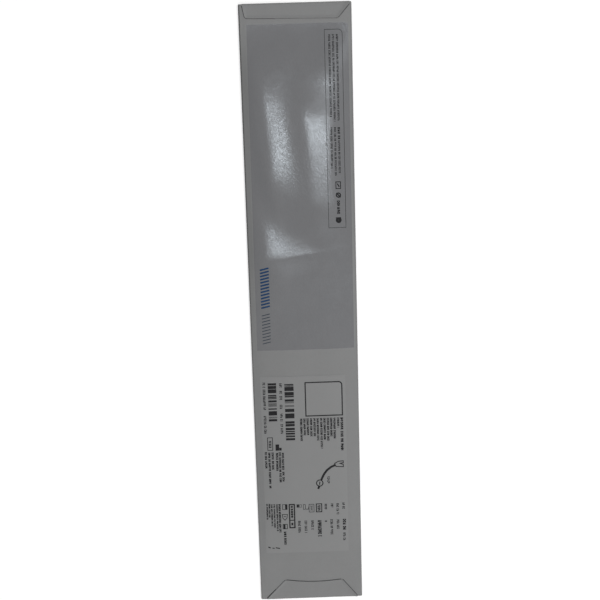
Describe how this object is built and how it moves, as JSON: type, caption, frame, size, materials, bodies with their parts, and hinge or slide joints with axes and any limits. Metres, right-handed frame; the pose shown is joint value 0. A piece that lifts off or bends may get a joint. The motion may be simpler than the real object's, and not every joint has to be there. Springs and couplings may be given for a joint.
{
  "type": "sealed urinary catheter pack",
  "caption": "Long flat sealed paper pack that holds a urinary catheter, with folded and glued end flaps, a tinted glossy print field and a paper label.",
  "frame": {"origin": "under the middle of the pack, on the surface that its back lies on", "axes": "+X across the pack to the right, +Y along it towards the end that holds the catheter's arms, +Z out of the front"},
  "size_m": [0.08, 0.455, 0.0088],
  "materials": {
    "envelope_paper": "coated grey-white paper with a soft sheen, tinted and glossier on the upper front",
    "label_paper": "matt self-adhesive paper, a little lighter than the envelope, with dark grey print"
  },
  "bodies": {
    "root": {"envelope": "envelope_paper", "label": "label_paper"}
  },
  "joints": []
}
